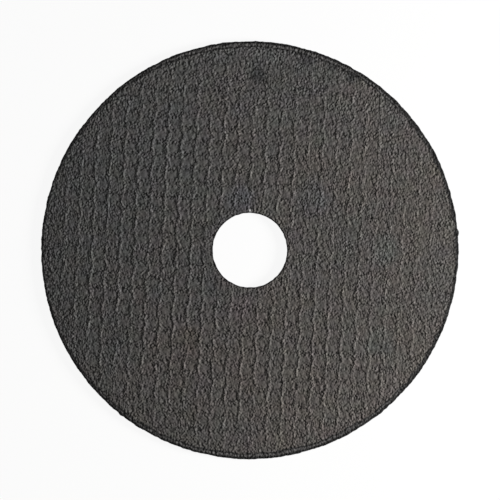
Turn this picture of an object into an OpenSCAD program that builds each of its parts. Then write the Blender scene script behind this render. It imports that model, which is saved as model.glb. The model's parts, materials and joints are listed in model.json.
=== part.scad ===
// Flat cut off wheel: a resin bonded abrasive disc with the weave of its glass net standing out of both faces.
// Millimetres. The wheel lies flat with its axis on +Z, and its underside rests on z = 0.

/* [Wheel] */
// Outside diameter of the wheel
wheel_d = 125; // [100:1:135]
// Thickness over the crests of the weave, which is the thickness that the flanges clamp
wheel_t = 1.6; // [1.0:0.1:3.2]
// Chamfer that breaks the two edges of the rim
rim_break = 0.25; // [0.1:0.05:0.4]

/* [Bore and flange seat] */
// Diameter of the arbour hole
bore_d = 22.23; // [15.9:0.01:25.4]
// Diameter of the ring round the bore that is pressed flat for the flanges
seat_d = 28.2; // [27:0.1:40]

/* [Glass net] */
// Width of the bare rim, from the edge of the net to the outside of the wheel
bare_rim = 2.5; // [1:0.1:10]
// Turn of the net in the wheel, in degrees
net_turn = -2.9; // [-45:0.1:45]
// Distance from one warp to the next
warp_pitch = 4.21; // [3.6:0.01:8]
// Distance from one weft to the next
weft_pitch = 4.07; // [3.6:0.01:8]
// Place of a warp beside the wheel's axis, to the right
warp_offset = -0.94; // [-2:0.01:2]
// Place of a weft beside the wheel's axis, upwards
weft_offset = 1.06; // [-2:0.01:2]

/* [Yarns] */
// Width of a warp's ridge where it leaves the face
warp_w = 1.5; // [0.8:0.05:2]
// Height of a warp's ridge over the face
warp_h = 0.2; // [0.15:0.01:0.3]
// Sideways swing of a warp, right at one weft and left at the next
warp_sway = 0.26; // [0:0.01:0.4]
// Width of a weft's ridge where it leaves the face
weft_w = 1.6; // [0.8:0.05:2]
// Height of a weft's ridge over the face
weft_h = 0.12; // [0.05:0.01:0.18]
// Length over which a ridge runs out into the face at each end
run_out = 0.8; // [0.4:0.1:2]
// Room between the ends of the ridges and the flange seat
seat_gap = 0.3; // [0.1:0.1:2]
// Share of a ridge's height that is rooted in the moulded body
root_share = 0.5; // [0.2:0.1:0.8]

/* [Hidden] */
$fn = 96;

bore_r = bore_d / 2;
seat_r = seat_d / 2;
wheel_r = wheel_d / 2;
net_r = wheel_r - bare_rim;
clear_r = seat_r + seat_gap;
low_face = warp_h;
high_face = wheel_t - warp_h;

// Half the chord that a circle leaves at a distance from its centre, or 0 outside it
function half_chord(radius, offset) = sqrt(max(0, radius * radius - offset * offset));

// Places of a row of yarns across the net, with one yarn at the offset
function yarns(offset, pitch, reach) =
    [for (k = [ceil((-reach - offset) / pitch) : floor((reach - offset) / pitch)]) offset + k * pitch];

// Swing of a warp at a place along it: full to one side at a weft, full to the other at the next
function swing(y) =
    let (rows = (y - weft_offset) / weft_pitch, row = floor(rows), side = row % 2 == 0 ? 1 : -1)
    warp_sway * side * (1 - 2 * (rows - row));

// Stretches of a yarn that cross the net, whole or parted by the flange seat
function stretches(offset) =
    let (outer = half_chord(net_r, offset), inner = half_chord(clear_r, offset))
    inner > 0 ? [[-outer, -inner], [inner, outer]] : [[-outer, outer]];

// Stations along a stretch: its ends, where the run outs start, and the knees between them
function stations(from, to, knees) =
    concat([from, from + run_out],
           [for (y = knees) if (y > from + 2 * run_out && y < to - 2 * run_out) y],
           [to - run_out, to]);

// A ridge of roof shaped section swept along +Y through its stations, with its crest sunk at both ends
module ridge(path, width, height) {
    last = len(path) - 1;
    root = root_share * height;
    foot = width / 2 * (1 + root_share);
    points = [for (i = [0 : last])
        let (x = path[i][0], y = path[i][1], crest = i == 0 || i == last ? -root / 2 : height)
        each [[x - foot, y, -root], [x, y, crest], [x + foot, y, -root]]];
    sides = [for (i = [0 : last - 1], s = [0 : 2])
        let (a = 3 * i + s, b = 3 * i + (s + 1) % 3) [a, a + 3, b + 3, b]];
    polyhedron(points, concat(sides, [[0, 1, 2], [3 * last + 2, 3 * last + 1, 3 * last]]));
}

module warps() {
    for (x = yarns(warp_offset, warp_pitch, net_r - 2 * run_out), s = stretches(x))
        ridge([for (y = stations(s[0], s[1], yarns(weft_offset, weft_pitch, net_r))) [x + swing(y), y]],
              warp_w, warp_h);
}

module wefts() {
    rotate(-90)
        for (y = yarns(weft_offset, weft_pitch, net_r - 2 * run_out), s = stretches(y))
            ridge([for (x = stations(s[0], s[1], [])) [-y, x]], weft_w, weft_h);
}

module weave() {
    rotate(net_turn) {
        warps();
        wefts();
    }
}

module body() {
    rotate_extrude()
        polygon([[bore_r, 0], [seat_r, 0], [seat_r, low_face],
                 [wheel_r - rim_break, low_face], [wheel_r, low_face + rim_break],
                 [wheel_r, high_face - rim_break], [wheel_r - rim_break, high_face],
                 [seat_r, high_face], [seat_r, wheel_t], [bore_r, wheel_t]]);
}

module cut_off_wheel() {
    color("#4a4846") {
        body();
        translate([0, 0, high_face]) weave();
        translate([0, 0, low_face]) mirror([0, 0, 1]) weave();
    }
}

cut_off_wheel();
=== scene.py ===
"""A resin bonded cut off wheel: a pressed disc with the weave of its glass net in relief, and its stage."""

import json
import math

import bpy
import numpy as np
from bpy.props import FloatProperty, FloatVectorProperty, PointerProperty
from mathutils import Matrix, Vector, noise
from mathutils.geometry import delaunay_2d_cdt


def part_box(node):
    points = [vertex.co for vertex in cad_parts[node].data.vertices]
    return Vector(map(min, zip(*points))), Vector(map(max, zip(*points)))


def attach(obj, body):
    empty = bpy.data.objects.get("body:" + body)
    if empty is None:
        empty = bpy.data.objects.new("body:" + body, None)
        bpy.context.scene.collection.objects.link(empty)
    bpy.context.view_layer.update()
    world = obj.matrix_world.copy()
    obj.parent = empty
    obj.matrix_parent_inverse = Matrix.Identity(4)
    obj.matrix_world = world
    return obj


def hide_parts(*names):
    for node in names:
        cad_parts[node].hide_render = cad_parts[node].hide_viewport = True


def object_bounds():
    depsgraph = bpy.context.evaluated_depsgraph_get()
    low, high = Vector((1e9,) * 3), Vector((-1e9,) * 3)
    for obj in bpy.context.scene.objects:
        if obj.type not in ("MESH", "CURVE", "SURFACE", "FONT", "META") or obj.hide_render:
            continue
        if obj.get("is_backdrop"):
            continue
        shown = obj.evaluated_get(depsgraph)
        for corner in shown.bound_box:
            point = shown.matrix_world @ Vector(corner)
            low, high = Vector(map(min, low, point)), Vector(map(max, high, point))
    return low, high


bl_info = {
    "name": "Cut Off Wheel",
    "version": (1, 0, 0),
    "blender": (4, 5, 0),
    "location": "3D View > Sidebar > Wheel",
    "description": "Presses a cut off wheel with a glass net in relief and sets a stage for it",
    "category": "Object",
}

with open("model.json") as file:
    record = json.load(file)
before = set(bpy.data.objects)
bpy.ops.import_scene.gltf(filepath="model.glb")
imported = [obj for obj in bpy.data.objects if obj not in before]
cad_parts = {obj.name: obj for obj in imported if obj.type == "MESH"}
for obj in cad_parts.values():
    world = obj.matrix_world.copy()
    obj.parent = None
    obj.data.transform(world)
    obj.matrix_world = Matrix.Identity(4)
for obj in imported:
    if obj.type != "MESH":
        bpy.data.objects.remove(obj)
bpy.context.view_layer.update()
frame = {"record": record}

MM = 0.001
NODE = "cut_off_wheel"
PIECE = "pressed_wheel"
BODY = "root"
BAKE_MAP = "OFBake"

wheel_low, wheel_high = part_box(NODE)
mounts = {mount["name"]: mount for mount in frame["record"]["mounts"]}

# The photograph's frame in pixels, with the wheel's centre and radius in it.
PHOTO_SIDE = 500
PHOTO_CENTRE = (249.85, 250.19)
PHOTO_RADIUS = 208.68

# Swing of a warp over two wefts, in shares of its swing at places counted in wefts.
SWING_ROWS = (0, 0.17, 0.31, 1.21, 1.36, 1.65, 1.80, 2)
SWING_SHARES = (0.70, 0.63, 0.10, -1.08, 0.46, -0.50, 0.95, 0.70)

# Half width of a warp's lighter crest, worn and with a painted highlight, and how much wider it is at an
# even and an odd weft.
CREST_WIDTH = 0.205 * MM
CREST_SWELL = (1.0, 0.2)

# Where a weft is lighter, worn and with painted light over its shaded part: place past the warp, and reach
# along the weft.
WEAR_HIGHLIGHT_PLACE, WEAR_HIGHLIGHT_REACH = 3.28 * MM, 0.57 * MM

# Where a weft makes the face smooth: place past the warp, reach along the weft and width across it.
SMOOTH_PLACE, SMOOTH_REACH, SMOOTH_WIDTH = 2.0 * MM, 1.25 * MM, 0.75 * MM

# How smooth a warp's crest is, where the middle of a weft is 1.
CREST_SMOOTH = 0.3

# Place of the ditch past a warp's crest, and its spread.
DITCH_PLACE, DITCH_SPREAD = 0.72 * MM, 0.33 * MM

# Greatest height of the weave, as a share of its highest knot.
HEIGHT_LIMIT = 1.1

# Noise over a face: the length over which it varies, and its layer above the face's own seed.
WARP_STRAY_NOISE = (9 * MM, 0)
WEFT_STRAY_NOISE = (24 * MM, 10)
WEAR_NOISE = (3.5 * MM, 20)
FRAY_NOISE = (9 * MM, 30)
LUMP_NOISE = (2.35 * MM, 40)
JOG_NOISE = (2.4 * MM, 50)

# How the relief and the grit's roughness change over the face, for each metre to the right and upwards.
RELIEF_SIDE = (-4.4, -0.9)
ROUGH_SIDE = (-2.0, 0, 0)

# Patches where the relief stands out more or less than round them: place, spread and gain.
RELIEF_PATCHES = (
    (-28 * MM, 26 * MM, 11 * MM, 0.28),
    (33 * MM, -38 * MM, 14 * MM, 0.36),
    (7 * MM, 50 * MM, 8 * MM, -0.36),
    (28 * MM, 1 * MM, 11 * MM, -0.22),
    (5 * MM, -51 * MM, 9 * MM, 0.18),
    (-30 * MM, -49 * MM, 8 * MM, -0.25),
    (-8 * MM, -16 * MM, 7 * MM, -0.2),
    (31 * MM, 41 * MM, 7 * MM, 0.2),
)

# Where the rub of the relief starts and ends, in shares of the net's radius, and the share of the whole rub
# at which the relief has its plain height.
RUB_START, RUB_END, RUB_EVEN = 0.6, 1.05, 0.2

# Direction in which the rim is longest, and grains that stand out of it: direction and height.
RIM_LONG_WAY = math.radians(65)
RIM_GRAINS = ((math.radians(4.9), 0.36 * MM), (math.radians(231.9), 0.30 * MM))
RIM_GRAIN_SPREAD = 0.55 * MM

# Sizes of the small ups and downs of the rim and of the bore, and their seeds.
RIM_WOBBLES, RIM_SEED = (6 * MM, 2.3 * MM, 1.1 * MM, 0.7 * MM), 3.3
BORE_WOBBLES, BORE_SEED = (1.2 * MM,), 5.1

# Points round the rim's edge, round the bare rim and round the bore.
EDGE_SPOKES = 960
RIM_SPOKES = 480
BORE_SPOKES = 240

# Breaking of the bore's two edges, and inset of the rim wall's outer rings as a share of its rounding.
BORE_BREAK = 0.12 * MM
EDGE_SOFT = 0.3

# Rings of a face: how far they lie inside the rim, and outside the bore.
RIM_INSETS = (0.65 * MM, 1.05 * MM, 1.5 * MM, 2.0 * MM)
BORE_STEPS = (2.4 * MM, 1.8 * MM, 1.2 * MM, 0.6 * MM, BORE_BREAK)

# Grid lines beside each warp and number of lines from weft to weft, for the upper face and the underside.
FINE_COLUMNS = [d * MM for d in (-1.25, -0.8, -0.45, -0.18, 0, 0.13, 0.27, 0.45, 0.75, 1.3, 1.9, 2.45)]
FINE_ROWS = 8
PLAIN_COLUMNS = [d * MM for d in (-1.2, -0.5, 0, 0.25, 0.7, 1.8)]
PLAIN_ROWS = 5

# Room between a face's grid and its rings, and the distance in millimetres at which two points are one.
GRID_GAP = 0.35 * MM
WELD = 1e-7

# Places of the two faces in the texture map, as shares of its side, and number and places of the strips
# into which the two walls are cut.
TOP_MAP = (0.305, 0.305, 0.295)
UNDER_MAP = (0.81, 0.19, 0.18)
RIM_STRIPS, RIM_STRIP_V = 4, 0.65
BORE_STRIPS, BORE_STRIP_V = 1, 0.85
STRIP_U, STRIP_WIDTH, STRIP_HEIGHT, STRIP_STEP = 0.02, 0.6, 0.02, 0.045

# The upper face and the underside: way it looks, seed, grid lines and place in the texture map.
FACES = (
    (1, 1.5, FINE_COLUMNS, FINE_ROWS, TOP_MAP),
    (-1, 61.5, PLAIN_COLUMNS, PLAIN_ROWS, UNDER_MAP),
)

# Print of a fine cloth in the face: pitch, direction across its yarns and phase.
CLOTH = ((1.563 * MM, math.radians(25.3), 1.07), (1.684 * MM, math.radians(-66.7), 0.06))

# Noise in the finish: size, detail and shift. The size of the clumps of grit is a setting.
WARMTH_NOISE = (18 * MM, 3.0, 0.31)
TINT_NOISE = (5 * MM, 3.0, 0.43)
PATCH_NOISE = (4 * MM, 2.0, 0.91)
RAGGED_NOISE = (2 * MM, 3.0, 0.17)
GRAIN_NOISE = (0.72 * MM, 0.3, 0.07)
CLUMP_DETAIL, CLUMP_SHIFT = 0.3, 0.53
NOISE_MIDDLE = 0.5

# Values of that noise from cool to warm, from a calm to a rough patch, from a pit to the flat of a grain,
# from there to its tip, and from dull to glossy.
WARMTH_RANGE = (0.15, 0.85)
PATCH_RANGE = (0.3, 0.7)
PIT_RANGE = (0.26, 0.48)
TIP_RANGE = (0.5, 0.8)
GLOSS_RANGE = (0.3, 0.7)

# Roughness of the grit in a calm and a rough patch, and how much of it shows bare and on a smooth yarn.
PATCH_ROUGH = (0.7, 1.3)
BARE_ROUGH = 1.16
YARN_ROUGH = 0.42

# How far the shader's roughness strays from its mean.
GLOSS_SPREAD = 0.1

# How the warm tone grows over the face, for each metre to the right and upwards.
WARM_SIDE = (4.6, -3.2, 0)

# Painted light and shade over the face: how much lighter the grit is painted to the right and upwards, for
# each metre and for each metre squared, where the lamp's light falls unevenly.
PAINTED_LIGHT_SIDE = (-0.48, 0.78, 0)
PAINTED_LIGHT_BOW = (-9, 30, 0)

# How ragged the black edges and the ledge are, and how much further in the rim's black reaches on the right.
EDGE_RAG, LEDGE_RAG = 0.6 * MM, 1.8 * MM
EDGE_SHIFT = 0.1 * MM

# How many times as light the face is beside the bare rim and beside the bore.
EDGE_WEAR = 1.1

# Bands over which colours change, outwards from the ledge, the bore and the rim.
RIM_WEAR_BAND = (-3.5 * MM, -0.6 * MM)
BARE_RIM_BAND = (-0.5 * MM, 0.2 * MM)
BORE_WEAR_BAND = (0.9 * MM, 1.9 * MM)
BORE_BLACK_BAND = (0.23 * MM, 0.58 * MM)
RIM_BLACK_BAND = (-0.97 * MM, -0.47 * MM)

# The dark line of the ledge: where it fades on either side, and its strength.
LEDGE_LINE_BAND = (0.1 * MM, 0.4 * MM)
LEDGE_LINE_STRENGTH = 0.85

# Stains on the upper face, and a painted glint at the edge of the bore, a bright spot painted where light
# glints: place, reach and colour.
STAINS = (
    (2.6 * MM, 52.3 * MM, 3.6 * MM, (0.025, 0.0255, 0.027)),
    (-2.8 * MM, 14.9 * MM, 6 * MM, (0.0605, 0.0615, 0.068)),
    (-2.8 * MM, -16.6 * MM, 6 * MM, (0.0725, 0.0625, 0.0645)),
    (17.3 * MM, 57.7 * MM, 4.0 * MM, (0.030, 0.029, 0.030)),
    (24.5 * MM, 55.3 * MM, 3.0 * MM, (0.030, 0.030, 0.031)),
    (30.5 * MM, 51.6 * MM, 2.6 * MM, (0.028, 0.028, 0.030)),
    (18.2 * MM, 15.5 * MM, 8 * MM, (0.061, 0.062, 0.064)),
    (39 * MM, -27.5 * MM, 6 * MM, (0.059, 0.061, 0.058)),
    (40.9 * MM, 0.2 * MM, 7 * MM, (0.067, 0.0685, 0.064)),
    (-18.4 * MM, -27 * MM, 6 * MM, (0.069, 0.061, 0.055)),
)
# A painted glint: a bright spot at the bore's edge that stands in for light glinting on a grain.
PAINTED_GLINTS = ((0.1 * MM, 11.80 * MM, 0.68 * MM, (0.30, 0.30, 0.30)),)

# Share of its reach at which a stain, and the painted glint, starts to fade, and its strength inside that.
STAIN_AND_GLINT_CORE, STAIN_AND_GLINT_STRENGTH = 0.3, 0.8

# Numbers of the sockets by which a mix node mixes colours.
MIX_SHARE, MIX_FIRST, MIX_SECOND, MIX_RESULT = 0, 6, 7, 2


class WheelSizes(bpy.types.PropertyGroup):
    """Sizes of the pressed wheel."""

    radius: FloatProperty(
        name="Radius", description="Outside radius of the wheel",
        default=wheel_high.x, unit="LENGTH")
    thickness: FloatProperty(
        name="Thickness", description="Thickness over the crests of the weave",
        default=wheel_high.z - wheel_low.z, unit="LENGTH")
    bore_radius: FloatProperty(
        name="Bore radius", description="Radius of the arbour hole",
        default=mounts["arbour_bore"]["dims"]["r_mm"] * MM, unit="LENGTH")
    seat_radius: FloatProperty(
        name="Seat radius", description="Radius of the ring round the bore that is pressed flat",
        default=14.1 * MM, unit="LENGTH")
    seat_slope: FloatProperty(
        name="Seat slope", description="Width over which the seat blends into the weave",
        default=1.2 * MM, unit="LENGTH")
    seat_print: FloatProperty(
        name="Seat print", description="Share of the weave's relief that still shows on the seat",
        default=0.5, subtype="FACTOR", min=0, max=1)
    rim_ledge: FloatProperty(
        name="Rim ledge", description="Radius of the small ledge inside the bare rim",
        default=61.35 * MM, unit="LENGTH")
    ledge_drop: FloatProperty(
        name="Ledge drop", description="How far the bare rim lies below the face",
        default=0.045 * MM, unit="LENGTH")
    ledge_slope: FloatProperty(
        name="Ledge slope", description="Width over which the ledge drops",
        default=0.4 * MM, unit="LENGTH")
    ledge_oval: FloatProperty(
        name="Ledge oval", description="How oval the ledge is, as a share of its radius",
        default=0.0085, precision=4)
    ledge_shift: FloatProperty(
        name="Ledge shift", description="How far the ledge lies off the axis, to the left",
        default=0.22 * MM, unit="LENGTH")
    lump_height: FloatProperty(
        name="Lump height", description="Height of the small ups and downs of the faces",
        default=0.074 * MM, unit="LENGTH")
    edge_round: FloatProperty(
        name="Edge round", description="Rounding of the rim's two edges",
        default=0.25 * MM, unit="LENGTH")
    rim_wobble: FloatProperty(
        name="Rim wobble", description="How far the rim strays from a true circle",
        default=0.11 * MM, unit="LENGTH")
    rim_oval: FloatProperty(
        name="Rim oval", description="How far the rim stands out at its two long ends",
        default=0.075 * MM, unit="LENGTH")
    bore_rub: FloatProperty(
        name="Bore rub", description="How far the bore's wall is rubbed away",
        default=0.045 * MM, unit="LENGTH")
    bore_wobble: FloatProperty(
        name="Bore wobble", description="How far the bore's edge strays from a true circle",
        default=0.12 * MM, unit="LENGTH")


class NetWeave(bpy.types.PropertyGroup):
    """The glass net that stands out of both faces."""

    radius: FloatProperty(
        name="Net radius", description="Radius to which the net is cut",
        default=59.4 * MM, unit="LENGTH")
    fade: FloatProperty(
        name="Net fade", description="Width over which the weave fades out at the net's edge",
        default=3.0 * MM, unit="LENGTH")
    fray: FloatProperty(
        name="Net fray", description="How far the net's edge strays from its radius",
        default=0.8 * MM, unit="LENGTH")
    turn: FloatProperty(
        name="Turn", description="Turn of the net in the wheel",
        default=math.radians(-2.93), subtype="ANGLE")
    warp_pitch: FloatProperty(
        name="Warp pitch", description="Distance from one warp to the next",
        default=4.21 * MM, unit="LENGTH")
    weft_pitch: FloatProperty(
        name="Weft pitch", description="Distance from one weft to the next",
        default=4.07 * MM, unit="LENGTH")
    warp_offset: FloatProperty(
        name="Warp offset", description="Place of a warp beside the axis",
        default=-0.765 * MM, unit="LENGTH")
    weft_offset: FloatProperty(
        name="Weft offset", description="Place of a weft beside the axis",
        default=0.92 * MM, unit="LENGTH")
    warp_height: FloatProperty(
        name="Warp height", description="Height of a warp's ridge between the wefts",
        default=0.111 * MM, unit="LENGTH")
    warp_swing: FloatProperty(
        name="Warp swing", description="Sideways swing of a warp from weft to weft",
        default=0.40 * MM, unit="LENGTH")
    steep_flank: FloatProperty(
        name="Steep flank", description="Distance from a warp's crest to its steep right flank",
        default=0.175 * MM, unit="LENGTH")
    gentle_flank: FloatProperty(
        name="Gentle flank", description="Distance from a warp's crest to its gentle left flank",
        default=0.38 * MM, unit="LENGTH")
    ditch_depth: FloatProperty(
        name="Ditch depth", description="Depth of the shallow ditch along a warp's right foot",
        default=0.024 * MM, unit="LENGTH")
    ditch_gain: FloatVectorProperty(
        name="Ditch gain", description="How much deeper the ditch is at an even and an odd weft",
        size=2, default=(-1.0, 2.0))
    knot_gain: FloatVectorProperty(
        name="Knot gain", description="How much higher a warp stands over an even and an odd weft",
        size=2, default=(0.60, 0.66))
    knot_swell: FloatVectorProperty(
        name="Knot swell", description="How much wider the steep flank is at an even and an odd weft",
        size=2, default=(1.60, 0.45))
    weft_height: FloatVectorProperty(
        name="Weft height", description="Height of an even and an odd weft between two warps",
        size=2, default=(0.036 * MM, 0.10 * MM), unit="LENGTH")
    weft_dip: FloatVectorProperty(
        name="Weft dip", description="Depth to which an even and an odd weft dip beside a warp",
        size=2, default=(0.055 * MM, 0.07 * MM), unit="LENGTH")
    dip_place: FloatVectorProperty(
        name="Dip place", description="Where an even and an odd weft dip, past the warp to the left",
        size=2, default=(3.02 * MM, 2.09 * MM), unit="LENGTH")
    dip_run: FloatVectorProperty(
        name="Dip run", description="Length over which an even and an odd weft dip",
        size=2, default=(0.4 * MM, 1.45 * MM), unit="LENGTH")
    weft_spread: FloatVectorProperty(
        name="Weft spread", description="Distance from the crest of an even and an odd weft to its flank",
        size=2, default=(0.95 * MM, 0.71 * MM), unit="LENGTH")
    # How much lighter a crest is: wear, and a painted highlight in place of the light on its lit flank.
    crest_wear_and_highlight: FloatProperty(
        name="Crest tone", description="How much lighter a warp's worn crest is",
        default=0.43, min=0)
    # How much lighter a weft float is: wear, and painted light lifting the shade beside the warp.
    float_wear_and_highlight: FloatVectorProperty(
        name="Float tone", description="How much lighter the worn part of an even and an odd weft is",
        size=2, default=(0.38, 0.48))
    warp_stray: FloatProperty(
        name="Warp stray", description="How far the warps stray from their places",
        default=0.13 * MM, unit="LENGTH")
    weft_stray: FloatProperty(
        name="Weft stray", description="How far the wefts stray from their places",
        default=0.60 * MM, unit="LENGTH")
    jog: FloatProperty(
        name="Jog", description="How far the warps jog sideways over a short run",
        default=0.09 * MM, unit="LENGTH")
    wear: FloatProperty(
        name="Wear", description="How much the height of the relief varies from place to place",
        default=0.62, subtype="FACTOR", min=0, max=1)
    rim_rub: FloatProperty(
        name="Rim rub", description="How much of the relief is rubbed down towards the net's edge",
        default=0.38, subtype="FACTOR", min=0, max=1)


class GritFinish(bpy.types.PropertyGroup):
    """Colours and surface of the resin bonded grit."""

    warm_grey: FloatVectorProperty(
        name="Warm grey", description="Colour of the grit on its warm side",
        default=(0.0698, 0.0639, 0.0594), subtype="COLOR", min=0, max=1)
    cool_grey: FloatVectorProperty(
        name="Cool grey", description="Colour of the grit on its cool side",
        default=(0.0600, 0.0600, 0.0596), subtype="COLOR", min=0, max=1)
    rim_grey: FloatVectorProperty(
        name="Rim grey", description="Colour of the bare rim",
        default=(0.0662, 0.0645, 0.0638), subtype="COLOR", min=0, max=1)
    edge_black: FloatVectorProperty(
        name="Edge black", description="Colour of the ledge and of the edges at the rim and the bore",
        default=(0.0065, 0.0065, 0.0065), subtype="COLOR", min=0, max=1)
    tint: FloatProperty(
        name="Tint", description="Strength of the small patches of other tints",
        default=0.17, subtype="FACTOR", min=0, max=1)
    pit_tone: FloatProperty(
        name="Pit tone", description="Tone of the pits between the grains",
        default=0.42, subtype="FACTOR", min=0, max=1)
    tip_tone: FloatProperty(
        name="Tip tone", description="Tone of the light tips of the grains",
        default=1.45, min=1)
    grain_size: FloatProperty(
        name="Grain size", description="Size of a clump of grit",
        default=0.60 * MM, unit="LENGTH")
    grain_height: FloatProperty(
        name="Grain height", description="Height of the grit's bumps",
        default=0.462 * MM, unit="LENGTH")
    cloth_height: FloatProperty(
        name="Cloth height", description="Height of the fine cloth's print",
        default=0.022 * MM, unit="LENGTH")
    roughness: FloatProperty(
        name="Roughness", description="Mean roughness of the surface",
        default=0.72, subtype="FACTOR", min=0, max=1)
    gloss: FloatProperty(
        name="Gloss", description="Specular level of the resin",
        default=0.12, subtype="FACTOR", min=0, max=1)


class StageSettings(bpy.types.PropertyGroup):
    """Floor, light and camera."""

    lens: FloatProperty(
        name="Lens", description="Focal length of the camera",
        default=100.0, unit="CAMERA")
    key_power: FloatProperty(
        name="Key power", description="Power of the soft lamp to the right",
        default=4.28, unit="POWER")
    key_distance: FloatProperty(
        name="Key distance", description="Distance of the lamp from the wheel's middle",
        default=0.42, unit="LENGTH")
    key_size: FloatProperty(
        name="Key size", description="Side of the square lamp",
        default=0.12, unit="LENGTH")
    key_azimuth: FloatProperty(
        name="Key azimuth", description="Direction of the lamp, from the right towards the top",
        default=math.radians(-6), subtype="ANGLE")
    key_elevation: FloatProperty(
        name="Key elevation", description="Height of the lamp over the face, as an angle",
        default=math.radians(20), subtype="ANGLE")
    key_colour: FloatVectorProperty(
        name="Key colour", description="Colour of the lamp",
        default=(1.0, 0.985, 0.97), subtype="COLOR", min=0, max=1)
    fill: FloatProperty(
        name="Fill", description="Strength of the even light from all round",
        default=0.08, min=0)
    floor_grey: FloatProperty(
        name="Floor grey", description="Grey of the floor's paint",
        default=0.9, subtype="FACTOR", min=0, max=1)
    floor_glow: FloatProperty(
        name="Floor glow", description="Share of the floor that stays white to the eye",
        default=0.92, subtype="FACTOR", min=0, max=1)
    floor_side: FloatProperty(
        name="Floor side", description="Side of the square floor",
        default=6.0, unit="LENGTH")


class WheelSettings(bpy.types.PropertyGroup):
    """All settings of the wheel and its stage."""

    sizes: PointerProperty(name="Wheel", description="Sizes of the pressed wheel", type=WheelSizes)
    net: PointerProperty(name="Net", description="The glass net in relief", type=NetWeave)
    grit: PointerProperty(name="Grit", description="Colours and surface of the grit", type=GritFinish)
    stage: PointerProperty(name="Stage", description="Floor, light and camera", type=StageSettings)


# Relief of the faces

def wrapped(distance, pitch):
    """Signed distance to the nearest of a row of places a pitch apart."""
    return (distance + pitch / 2) % pitch - pitch / 2


def bell(distance, spread):
    """A soft ridge of height 1 that is steepest at its spread."""
    return np.exp(-0.5 * (distance / spread) ** 2)


def ease(value, low, high):
    """Rises smoothly from 0 at low to 1 at high."""
    t = np.clip((value - low) / (high - low), 0, 1)
    return t * t * (3 - 2 * t)


def step(value, middle, width):
    """Rises smoothly from 0 to 1 over a width round a middle."""
    return ease(value, middle - width / 2, middle + width / 2)


def smooth_noise(x, y, size, seed):
    """Smooth noise of about that size, from -1 to 1, at each point."""
    return np.array([noise.noise(Vector((a, b, seed))) for a, b in zip(x / size, y / size)])


def swing(net, along):
    """Sideways swing of the warps: they lean from weft to weft, and jog where they are knotted round one."""
    rows = (along - net.weft_offset) / net.weft_pitch
    return net.warp_swing * np.interp(-rows % 2, SWING_ROWS, SWING_SHARES)


def to_net(net, x, y):
    """Wheel coordinates to coordinates across and along the warps."""
    c, s = math.cos(net.turn), math.sin(net.turn)
    along = y * c - x * s
    return x * c + y * s - swing(net, along), along


def to_wheel(net, across, along):
    """Coordinates across and along the warps to wheel coordinates."""
    c, s = math.cos(net.turn), math.sin(net.turn)
    swung = across + swing(net, along)
    return swung * c - along * s, swung * s + along * c


def weave(net, across, along):
    """Height of the weave over the face between its yarns, how much lighter its yarns are, worn and with a
    painted highlight, and how smooth they are.
    """
    past = across - net.warp_offset
    aside = wrapped(past, net.warp_pitch)
    beyond = wrapped(along - net.weft_offset, net.weft_pitch)
    odd = np.rint((along - net.weft_offset) / net.weft_pitch).astype(int) % 2
    knot = bell(beyond, np.take(net.weft_spread, odd))
    right_flank = net.steep_flank * (1 + np.take(net.knot_swell, odd) * knot)
    crest = bell(aside, np.where(aside > 0, right_flank, net.gentle_flank))
    warp = net.warp_height * (1 + np.take(net.knot_gain, odd) * knot) * crest
    ditch = net.ditch_depth * (1 + np.take(net.ditch_gain, odd) * knot)
    warp = warp - ditch * bell(wrapped(past - DITCH_PLACE, net.warp_pitch), DITCH_SPREAD)
    dip, run = np.take(net.dip_place, odd), np.take(net.dip_run, odd)
    fall = step(past % net.warp_pitch, dip, run)
    high, low = np.take(net.weft_height, odd), np.take(net.weft_dip, odd)
    weft = knot * (high - (high + low) * fall)
    # Lighter yarns: wear, with a painted highlight on the crests and painted light on the floats.
    worn = np.take(net.float_wear_and_highlight, odd) * knot * bell(wrapped(past - WEAR_HIGHLIGHT_PLACE, net.warp_pitch), WEAR_HIGHLIGHT_REACH)
    worn = worn + net.crest_wear_and_highlight * bell(aside, CREST_WIDTH * (1 + np.take(CREST_SWELL, odd) * knot))
    smooth = bell(beyond, SMOOTH_WIDTH) * bell(wrapped(past - SMOOTH_PLACE, net.warp_pitch), SMOOTH_REACH)
    smooth = np.maximum(smooth, CREST_SMOOTH * crest)
    return warp + weft * (1 - crest), worn, smooth


def knot_height(net):
    """Height of the highest knot."""
    return net.warp_height * (1 + max(net.knot_gain))


def relief_share(net, x, y):
    """How far the relief stands out, as a share of its plain height."""
    share = 1 + RELIEF_SIDE[0] * x + RELIEF_SIDE[1] * y
    for patch_x, patch_y, spread, gain in RELIEF_PATCHES:
        share = share + gain * bell(np.hypot(x - patch_x, y - patch_y), spread)
    rub = ease(np.hypot(x, y), RUB_START * net.radius, RUB_END * net.radius)
    return share - net.rim_rub * (rub - RUB_EVEN)


def face_relief(sizes, net, x, y, seed):
    """Height of a face over the middle of the wheel, how much lighter the yarns are there, worn and with a
    painted highlight, and how smooth they are.
    """
    def varied(size, layer):
        return smooth_noise(x, y, size, seed + layer)

    r = np.hypot(x, y)
    across, along = to_net(net, x, y)
    across = across + net.warp_stray * varied(*WARP_STRAY_NOISE) + net.jog * varied(*JOG_NOISE)
    along = along + net.weft_stray * varied(*WEFT_STRAY_NOISE)
    shown = 1 - step(r, net.radius + net.fray * varied(*FRAY_NOISE), net.fade)
    shown = shown * (relief_share(net, x, y) + net.wear * varied(*WEAR_NOISE))
    seat = 1 - step(r, sizes.seat_radius, sizes.seat_slope)
    pressed = 1 - seat * (1 - sizes.seat_print)
    top = knot_height(net)
    height, worn, smooth = weave(net, across, along)
    height = np.clip(height * shown, -max(net.weft_dip), HEIGHT_LIMIT * top)
    height = height + sizes.lump_height * varied(*LUMP_NOISE)
    oval = np.hypot((x + sizes.ledge_shift) * (1 - sizes.ledge_oval), y * (1 + sizes.ledge_oval))
    height = height - sizes.ledge_drop * step(oval, sizes.rim_ledge, sizes.ledge_slope)
    return sizes.thickness / 2 - (top - height) * pressed, worn * shown * pressed, smooth * shown * pressed


# Mesh of the wheel

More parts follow.
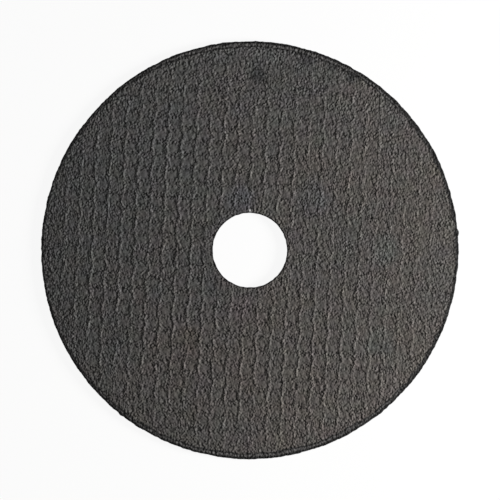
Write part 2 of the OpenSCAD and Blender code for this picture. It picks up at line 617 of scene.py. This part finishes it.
class Shell:
    """Points and faces of a closed mesh, with each corner's place in the texture map."""

    def __init__(self):
        self.points, self.worn, self.smooth, self.faces, self.corners = [], [], [], [], []
        self.count = 0

    def add_points(self, x, y, z, worn, smooth):
        """Adds points, and gives the number of the first."""
        start = self.count
        self.points.append(np.stack((x, y, z), 1))
        self.worn.append(worn)
        self.smooth.append(smooth)
        self.count += len(x)
        return start

    def add_face(self, start, triangles, spot, side):
        """Adds a round face, which lies flat in the texture map."""
        points = self.points[-1]
        u, v, reach = spot
        scale = reach / np.hypot(points[:, 0], points[:, 1]).max()
        spread = np.stack((u + scale * side * points[:, 0], v + scale * points[:, 1]), 1)
        triangles = triangles[:, ::side]
        self.faces += (triangles + start).tolist()
        self.corners.append(spread[triangles].reshape(-1, 2))

    def add_wall(self, rings, count, strips, base):
        """Adds a wall through rings of points, cut into strips in the texture map."""
        long = count // strips
        first = np.arange(count)
        second = (first + 1) % count
        low_u = STRIP_U + STRIP_WIDTH * (first % long) / long
        high_u = low_u + STRIP_WIDTH / long
        row = base + STRIP_STEP * (first // long)
        for level, (upper, lower) in enumerate(zip(rings, rings[1:])):
            quads = np.stack((upper + first, lower + first, lower + second, upper + second), 1)
            self.faces += quads.tolist()
            v = [row + STRIP_HEIGHT * (level + down) / (len(rings) - 1) for down in (0, 1, 1, 0)]
            u = (low_u, low_u, high_u, high_u)
            self.corners.append(np.stack((np.stack(u, 1), np.stack(v, 1)), 2).reshape(-1, 2))

    def build(self, name):
        """Makes the mesh."""
        mesh = bpy.data.meshes.new(name)
        mesh.from_pydata(np.concatenate(self.points).tolist(), [], self.faces)
        mesh.shade_smooth()
        layer = mesh.uv_layers.new(name=BAKE_MAP)
        layer.data.foreach_set("uv", np.concatenate(self.corners).ravel())
        for label, values in (("worn", self.worn), ("smooth", self.smooth)):
            layer = mesh.attributes.new(label, "FLOAT", "POINT")
            layer.data.foreach_set("value", np.concatenate(values))
        return mesh


def grid_points(net, columns, rows, inner, outer):
    """Points on a grid that follows the yarns, between two radii."""
    reach = math.ceil(outer / min(net.warp_pitch, net.weft_pitch)) + 1
    yarns = np.arange(-reach, reach + 1)
    across = net.warp_offset + np.add.outer(yarns * net.warp_pitch, columns).ravel()
    along = net.weft_offset + np.arange(-reach * rows, reach * rows + 1) * net.weft_pitch / rows
    across, along = np.meshgrid(across, along)
    x, y = to_wheel(net, across.ravel(), along.ravel())
    r = np.hypot(x, y)
    keep = (r > inner) & (r < outer)
    return x[keep], y[keep]


def ring_points(radius, count, wobble=0.0):
    """Points round a circle, moved in or out by the wobble."""
    angles = np.arange(count) * math.tau / count
    return (radius + wobble) * np.cos(angles), (radius + wobble) * np.sin(angles)


def wobbles(radius, count, sizes, seed):
    """Small ups and downs round a circle, of several sizes."""
    x, y = ring_points(radius, count)
    return sum(smooth_noise(x, y, size, seed + size / MM) for size in sizes)


def fill_face(net, columns, rows, rings):
    """Triangles of a face between its outer and its inner ring, through a grid that follows the yarns."""
    middle = [np.hypot(*ring).mean() for ring in rings]
    split = int(np.argmax(-np.diff(middle)))
    x, y = grid_points(net, columns, rows, middle[split + 1] + GRID_GAP, middle[split] - GRID_GAP)
    x = np.concatenate([ring[0] for ring in rings] + [x])
    y = np.concatenate([ring[1] for ring in rings] + [y])
    outer, inner = len(rings[0][0]), len(rings[-1][0])
    bore = sum(len(ring[0]) for ring in rings[:-1])
    borders = [(k, (k + 1) % outer) for k in range(outer)]
    borders += [(bore + k, bore + (k + 1) % inner) for k in range(inner)]
    points = [Vector(point) for point in zip(x / MM, y / MM)]
    inside_only = 1
    made, _, triangles, *_ = delaunay_2d_cdt(points, borders, [], inside_only, WELD)
    if len(made) != len(points):
        raise RuntimeError("Points of the face fall together")
    triangles = np.array(triangles)
    in_bore = ((triangles >= bore) & (triangles < bore + inner)).all(1)
    return x, y, triangles[~in_bore]


def rim_edge(sizes):
    """How far the rim strays from its radius, point by point."""
    ways = np.arange(EDGE_SPOKES) * math.tau / EDGE_SPOKES
    edge = sizes.rim_wobble * wobbles(sizes.radius, EDGE_SPOKES, RIM_WOBBLES, RIM_SEED)
    edge = edge + sizes.rim_oval * np.cos(2 * (ways - RIM_LONG_WAY))
    for way, height in RIM_GRAINS:
        edge = edge + height * bell(wrapped(ways - way, math.tau) * sizes.radius, RIM_GRAIN_SPREAD)
    return edge


def bore_edge(sizes):
    """How far the bore strays from its radius, point by point."""
    uneven = wobbles(sizes.bore_radius, BORE_SPOKES, BORE_WOBBLES, BORE_SEED)
    return sizes.bore_rub + sizes.bore_wobble * uneven


def face_rings(sizes, edge, bore):
    """Rings of points of a face, from the rim inwards to the bore."""
    rings = [ring_points(sizes.radius - sizes.edge_round, EDGE_SPOKES, edge)]
    rings += [ring_points(sizes.radius - inset, RIM_SPOKES) for inset in RIM_INSETS]
    rings += [ring_points(sizes.bore_radius + out, BORE_SPOKES, bore) for out in BORE_STEPS]
    return rings


def wall_rings(shell, middle, radius, wobble, levels):
    """Adds a wall's rings at their levels and insets, and gives the number of the first point of each."""
    count = len(wobble)
    bare = np.zeros(count)
    starts = []
    for level, inset in levels:
        x, y = ring_points(radius - inset, count, wobble)
        starts.append(shell.add_points(x, y, np.full(count, middle + level), bare, bare))
    return starts


def rim_levels(sizes, net):
    """Levels of the rim's rings over the middle of the wheel, from above, and their insets."""
    soft = EDGE_SOFT * sizes.edge_round
    half = sizes.thickness / 2 - knot_height(net) - sizes.ledge_drop
    return ((half - soft, soft), (half - sizes.edge_round, 0), (0, 0),
            (sizes.edge_round - half, 0), (soft - half, soft))


def bore_levels(sizes):
    """Levels of the bore's rings over the middle of the wheel, from below, and their insets."""
    half = sizes.thickness / 2 - BORE_BREAK
    return (-half, 0), (0, 0), (half, 0)


def press_wheel(sizes, net):
    """The wheel's closed mesh: two faces in relief, the rim and the bore."""
    edge, bore = rim_edge(sizes), bore_edge(sizes)
    rings = face_rings(sizes, edge, bore)
    bore_ring = sum(len(ring[0]) for ring in rings[:-1])
    middle = wheel_low.z + sizes.thickness / 2
    shell = Shell()
    starts = []
    for side, seed, columns, rows, spot in FACES:
        x, y, triangles = fill_face(net, columns, rows, rings)
        height, worn, smooth = face_relief(sizes, net, x, y, seed)
        starts.append(shell.add_points(x, y, middle + side * height, worn, smooth))
        shell.add_face(starts[-1], triangles, spot, side)
    top, under = starts
    wall = wall_rings(shell, middle, sizes.radius, edge, rim_levels(sizes, net))
    shell.add_wall([top, *wall, under], EDGE_SPOKES, RIM_STRIPS, RIM_STRIP_V)
    wall = wall_rings(shell, middle, sizes.bore_radius, bore, bore_levels(sizes))
    shell.add_wall([under + bore_ring, *wall, top + bore_ring], BORE_SPOKES, BORE_STRIPS, BORE_STRIP_V)
    return shell.build(PIECE)


class WHEEL_OT_press(bpy.types.Operator):
    """Presses the wheel with the weave of its net on both faces."""

    bl_idname = "cut_off_wheel.press"
    bl_label = "Press the wheel"

    def execute(self, context):
        settings = context.scene.cut_off_wheel
        mesh = press_wheel(settings.sizes, settings.net)
        if mesh.validate():
            raise RuntimeError("The wheel's mesh has faults")
        mesh.materials.append(bonded_grit(settings.sizes, settings.grit))
        wheel = bpy.data.objects.new(PIECE, mesh)
        context.scene.collection.objects.link(wheel)
        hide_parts(NODE)
        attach(wheel, BODY)
        return {"FINISHED"}


# Grit finish

class Nodes:
    """Adds nodes to a tree and links them."""

    def __init__(self, tree):
        self.tree = tree
        tree.nodes.clear()

    def add(self, kind, *inputs, **settings):
        """A node with its settings and its first inputs: values, sockets, or None to leave one as it is."""
        node = self.tree.nodes.new(kind)
        for name, value in settings.items():
            setattr(node, name, value)
        for socket, value in zip(node.inputs, inputs):
            self.put(socket, value)
        return node

    def put(self, socket, value):
        """Sets or links one input."""
        if isinstance(value, bpy.types.NodeSocket):
            self.tree.links.new(value, socket)
        elif value is not None:
            socket.default_value = value

    def math(self, operation, *values):
        """Number that a sum of numbers gives."""
        return self.add("ShaderNodeMath", *values, operation=operation).outputs[0]

    def vector(self, operation, *values):
        """Vector that a sum of vectors gives."""
        return self.add("ShaderNodeVectorMath", *values, operation=operation).outputs["Vector"]

    def measure(self, operation, *values):
        """Number that a sum of vectors gives."""
        return self.add("ShaderNodeVectorMath", *values, operation=operation).outputs["Value"]

    def ramp(self, value, low, high, from_value=0.0, to_value=1.0):
        """A smooth rise or fall of a number between two of its values."""
        values = (value, low, high, from_value, to_value)
        return self.add("ShaderNodeMapRange", *values, interpolation_type="SMOOTHSTEP").outputs[0]

    def noise(self, place, size, detail, shift):
        """Noise node of about that size."""
        moved = self.vector("ADD", place, (shift, shift, shift))
        return self.add("ShaderNodeTexNoise", moved, None, 1 / size, detail)

    def mix(self, share, first, second):
        """A mix of two colours."""
        node = self.add("ShaderNodeMix", data_type="RGBA")
        for number, value in ((MIX_SHARE, share), (MIX_FIRST, first), (MIX_SECOND, second)):
            self.put(node.inputs[number], value)
        return node.outputs[MIX_RESULT]


def rgba(colour):
    """A colour with full alpha."""
    return (*colour, 1.0)


def bonded_grit(sizes, grit):
    """Dark grit in resin: its colours, pits and light tips, the painted highlight on its yarns and painted
    light over the face, and bumps of the grit and of a fine cloth.
    """
    material = bpy.data.materials.new("bonded_grit")
    material.use_nodes = True
    nodes = Nodes(material.node_tree)
    place = nodes.add("ShaderNodeTexCoord").outputs["Object"]
    shader = nodes.add("ShaderNodeBsdfPrincipled")
    colour = rim_colours(nodes, place, sizes, grit, face_colours(nodes, place, sizes, grit))
    grain = nodes.noise(place, *GRAIN_NOISE).outputs["Fac"]
    rough = bare_grit(nodes, place)
    # The yarns' wear and painted highlight, and the painted light over the face, lighten the grit's colour.
    worn = nodes.add("ShaderNodeAttribute", attribute_name="worn").outputs["Fac"]
    tone = nodes.math("ADD", worn, painted_light_over_face(nodes, place))
    tone = nodes.math("MULTIPLY", specks(nodes, grit, grain, rough), tone)
    toned = nodes.add("ShaderNodeVectorMath", colour, operation="SCALE")
    nodes.put(toned.inputs["Scale"], tone)
    nodes.put(shader.inputs["Base Color"], toned.outputs[0])
    dull, glossy = grit.roughness + GLOSS_SPREAD, grit.roughness - GLOSS_SPREAD
    nodes.put(shader.inputs["Roughness"], nodes.ramp(grain, *GLOSS_RANGE, dull, glossy))
    nodes.put(shader.inputs["Specular IOR Level"], grit.gloss)
    # The height is in metres, so the bump takes it as it is.
    bump = nodes.add("ShaderNodeBump")
    nodes.put(bump.inputs["Strength"], 1.0)
    nodes.put(bump.inputs["Distance"], 1.0)
    nodes.put(bump.inputs["Height"], grit_height(nodes, place, grit, rough))
    nodes.put(shader.inputs["Normal"], bump.outputs[0])
    nodes.add("ShaderNodeOutputMaterial", shader.outputs[0])
    return material


def specks(nodes, grit, grain, rough):
    """Tone of the grit from grain to grain: dark pits and light tips, stronger where it is rough."""
    pits = nodes.ramp(grain, *PIT_RANGE, grit.pit_tone, 1.0)
    tips = nodes.ramp(grain, *TIP_RANGE, 1.0, grit.tip_tone)
    return nodes.math("MULTIPLY_ADD", nodes.math("MULTIPLY_ADD", pits, tips, -1.0), rough, 1.0)


def face_colours(nodes, place, sizes, grit):
    """Warm and cool grey over the faces, with the stains, and small patches of other tints."""
    lean = nodes.measure("DOT_PRODUCT", place, WARM_SIDE)
    warmth = nodes.math("ADD", nodes.noise(place, *WARMTH_NOISE).outputs["Fac"], lean)
    colour = nodes.mix(nodes.ramp(warmth, *WARMTH_RANGE), rgba(grit.cool_grey), rgba(grit.warm_grey))
    colour = stained_and_glinted(nodes, place, sizes, colour, STAINS)
    tints = nodes.noise(place, *TINT_NOISE).outputs["Color"]
    plain = 1 - grit.tint / 2
    tints = nodes.vector("MULTIPLY_ADD", tints, (grit.tint,) * 3, (plain,) * 3)
    return nodes.vector("MULTIPLY", colour, tints)


def painted_light_over_face(nodes, place):
    """Painted light and shade over the face, as the lamp's light falls, apart from its grains and its worn,
    highlighted yarns.
    """
    squares = nodes.vector("MULTIPLY", place, place)
    side = nodes.math("ADD", nodes.measure("DOT_PRODUCT", place, PAINTED_LIGHT_SIDE), 1.0)
    return nodes.math("ADD", nodes.measure("DOT_PRODUCT", squares, PAINTED_LIGHT_BOW), side)


def stained_and_glinted(nodes, place, sizes, colour, stains_and_glints):
    """A colour with patches on the upper face: the stains, and the painted glint at the bore."""
    for x, y, reach, mark_colour in stains_and_glints:
        away = nodes.measure("DISTANCE", place, (x, y, sizes.thickness))
        share = nodes.ramp(away, STAIN_AND_GLINT_CORE * reach, reach, STAIN_AND_GLINT_STRENGTH, 0.0)
        colour = nodes.mix(share, colour, rgba(mark_colour))
    return colour


def rim_colours(nodes, place, sizes, grit, colour):
    """Wear beside the rim and the bore, the bare rim outside its dark ledge, black edges and the painted
    glint at the bore.
    """
    ragged = nodes.math("SUBTRACT", nodes.noise(place, *RAGGED_NOISE).outputs["Fac"], NOISE_MIDDLE)

    def beyond(point, rag, radius):
        wavy = nodes.math("MULTIPLY_ADD", ragged, rag, nodes.measure("LENGTH", point))
        return nodes.math("SUBTRACT", wavy, radius)

    flat = nodes.vector("MULTIPLY", place, (1, 1, 0))
    oval = nodes.vector("ADD", flat, (sizes.ledge_shift, 0, 0))
    oval = nodes.vector("MULTIPLY", oval, (1 - sizes.ledge_oval, 1 + sizes.ledge_oval, 0))
    from_ledge = beyond(oval, LEDGE_RAG, sizes.rim_ledge)
    from_bore = beyond(flat, EDGE_RAG, sizes.bore_radius)
    from_rim = beyond(nodes.vector("ADD", flat, (EDGE_SHIFT, 0, 0)), EDGE_RAG, sizes.radius)
    by_rim = nodes.ramp(from_ledge, *RIM_WEAR_BAND, 1.0, EDGE_WEAR)
    by_bore = nodes.ramp(from_bore, *BORE_WEAR_BAND, EDGE_WEAR, 1.0)
    colour = nodes.vector("MULTIPLY", colour, nodes.math("MULTIPLY", by_rim, by_bore))
    colour = nodes.mix(nodes.ramp(from_ledge, *BARE_RIM_BAND), colour, rgba(grit.rim_grey))
    line = nodes.ramp(nodes.math("ABSOLUTE", from_ledge), *LEDGE_LINE_BAND, LEDGE_LINE_STRENGTH, 0.0)
    colour = nodes.mix(line, colour, rgba(grit.edge_black))
    rim = nodes.ramp(from_rim, *RIM_BLACK_BAND)
    bore = nodes.ramp(from_bore, *BORE_BLACK_BAND, 1.0, 0.0)
    colour = nodes.mix(nodes.math("MAXIMUM", rim, bore), colour, rgba(grit.edge_black))
    # The painted glint: a bright spot painted at the bore's edge, laid over the black edge.
    return stained_and_glinted(nodes, place, sizes, colour, PAINTED_GLINTS)


def bare_grit(nodes, place):
    """How rough the grit is: rougher in some patches and to the left, and smooth where a yarn covers it."""
    patches = nodes.ramp(nodes.noise(place, *PATCH_NOISE).outputs["Fac"], *PATCH_RANGE, *PATCH_ROUGH)
    patches = nodes.math("ADD", patches, nodes.measure("DOT_PRODUCT", place, ROUGH_SIDE))
    smooth = nodes.add("ShaderNodeAttribute", attribute_name="smooth").outputs["Fac"]
    shows = nodes.math("MULTIPLY_ADD", smooth, YARN_ROUGH - BARE_ROUGH, BARE_ROUGH)
    return nodes.math("MULTIPLY", patches, shows)


def grit_height(nodes, place, grit, rough):
    """Bumps of the grit, with the print of the fine cloth."""
    clumps = nodes.noise(place, grit.grain_size, CLUMP_DETAIL, CLUMP_SHIFT).outputs["Fac"]
    strength = nodes.math("MULTIPLY", rough, grit.grain_height)
    height = nodes.math("MULTIPLY", nodes.math("SUBTRACT", clumps, NOISE_MIDDLE), strength)
    for pitch, angle, phase in CLOTH:
        across = (math.cos(angle) * math.tau / pitch, math.sin(angle) * math.tau / pitch, 0)
        turns = nodes.math("ADD", nodes.measure("DOT_PRODUCT", place, across), phase)
        height = nodes.math("MULTIPLY_ADD", nodes.math("SINE", turns), grit.cloth_height, height)
    return height


# Stage

class WHEEL_OT_stage(bpy.types.Operator):
    """Sets the floor, the light and the camera."""

    bl_idname = "cut_off_wheel.stage"
    bl_label = "Set the stage"

    def execute(self, context):
        if PIECE not in context.scene.objects:
            raise RuntimeError("Press the wheel before its stage is set")
        settings = context.scene.cut_off_wheel
        lay_floor(context.scene, settings.stage)
        light_world(context.scene, settings.stage)
        hang_lamp(context.scene, settings.stage)
        aim_camera(context.scene, settings.stage, settings.sizes)
        context.scene.view_settings.view_transform = "Standard"
        return {"FINISHED"}


def seen_rays(nodes):
    """1 for rays that see the floor and the world, straight or in gloss or glass, and 0 for their light."""
    rays = nodes.add("ShaderNodeLightPath").outputs
    seen = nodes.math("MAXIMUM", rays["Is Camera Ray"], rays["Is Glossy Ray"])
    return nodes.math("MAXIMUM", seen, rays["Is Transmission Ray"])


def lay_floor(scene, stage):
    """A pale floor that looks white and keeps a faint shadow."""
    material = bpy.data.materials.new("pale_floor")
    material.use_nodes = True
    nodes = Nodes(material.node_tree)
    paint = nodes.add("ShaderNodeBsdfDiffuse", rgba((stage.floor_grey,) * 3)).outputs[0]
    glow = nodes.add("ShaderNodeEmission", rgba((1, 1, 1)), 1.0).outputs[0]
    share = nodes.math("MULTIPLY", seen_rays(nodes), stage.floor_glow)
    surface = nodes.add("ShaderNodeMixShader", share, paint, glow).outputs[0]
    nodes.add("ShaderNodeOutputMaterial", surface)
    half, level = stage.floor_side / 2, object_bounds()[0][2]
    corners = [(x * half, y * half, level) for x, y in ((-1, -1), (1, -1), (1, 1), (-1, 1))]
    mesh = bpy.data.meshes.new("floor")
    mesh.from_pydata(corners, [], [(0, 1, 2, 3)])
    mesh.materials.append(material)
    floor = bpy.data.objects.new("floor", mesh)
    scene.collection.objects.link(floor)
    floor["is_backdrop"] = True


def light_world(scene, stage):
    """An even fill from all round, in a world that looks white."""
    world = bpy.data.worlds.new("studio")
    world.use_nodes = True
    nodes = Nodes(world.node_tree)
    strength = nodes.math("MULTIPLY_ADD", seen_rays(nodes), 1 - stage.fill, stage.fill)
    sky = nodes.add("ShaderNodeBackground", rgba((1, 1, 1)), strength).outputs[0]
    nodes.add("ShaderNodeOutputWorld", sky)
    scene.world = world


def hang_lamp(scene, stage):
    """A soft square lamp, low to the right of the wheel."""
    lamp = bpy.data.lights.new("key", "AREA")
    lamp.size = stage.key_size
    lamp.energy = stage.key_power
    lamp.color = stage.key_colour
    key = bpy.data.objects.new("key", lamp)
    out, up = math.cos(stage.key_elevation), math.sin(stage.key_elevation)
    way = Vector((out * math.cos(stage.key_azimuth), out * math.sin(stage.key_azimuth), up))
    key.location = way * stage.key_distance
    key.rotation_euler = way.to_track_quat("Z", "Y").to_euler()
    key.visible_camera = False
    scene.collection.objects.link(key)


def aim_camera(scene, stage, sizes):
    """A camera straight over the wheel, which lies in the frame as it does in the photograph."""
    data = bpy.data.cameras.new("camera")
    data.lens = stage.lens
    pixel = sizes.radius / PHOTO_RADIUS
    distance = PHOTO_SIDE * pixel * data.lens / data.sensor_width
    camera = bpy.data.objects.new("camera", data)
    camera.location = (
        (PHOTO_SIDE / 2 - PHOTO_CENTRE[0]) * pixel,
        (PHOTO_CENTRE[1] - PHOTO_SIDE / 2) * pixel,
        wheel_low.z + sizes.thickness / 2 + distance,
    )
    scene.collection.objects.link(camera)
    scene.camera = camera


class WHEEL_PT_panel(bpy.types.Panel):
    """Settings and steps of the wheel."""

    bl_label = "Cut off wheel"
    bl_idname = "WHEEL_PT_panel"
    bl_space_type = "VIEW_3D"
    bl_region_type = "UI"
    bl_category = "Wheel"

    def draw(self, context):
        settings = context.scene.cut_off_wheel
        groups = {
            "Wheel": settings.sizes,
            "Net": settings.net,
            "Grit": settings.grit,
            "Stage": settings.stage,
        }
        for title, group in groups.items():
            box = self.layout.box()
            box.label(text=title)
            for name in type(group).__annotations__:
                box.prop(group, name)
        self.layout.operator(WHEEL_OT_press.bl_idname)
        self.layout.operator(WHEEL_OT_stage.bl_idname)


CLASSES = (WheelSizes, NetWeave, GritFinish, StageSettings, WheelSettings,
           WHEEL_OT_press, WHEEL_OT_stage, WHEEL_PT_panel)


def register():
    """Makes the settings, the steps and the panel known."""
    for cls in CLASSES:
        bpy.utils.register_class(cls)
    bpy.types.Scene.cut_off_wheel = PointerProperty(
        name="Cut off wheel", description="Settings of the wheel and its stage", type=WheelSettings)


def unregister():
    """Takes them away again."""
    del bpy.types.Scene.cut_off_wheel
    for cls in reversed(CLASSES):
        bpy.utils.unregister_class(cls)


def main():
    """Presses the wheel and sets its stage."""
    register()
    bpy.ops.cut_off_wheel.press()
    bpy.ops.cut_off_wheel.stage()


if __name__ == "__main__":
    main()
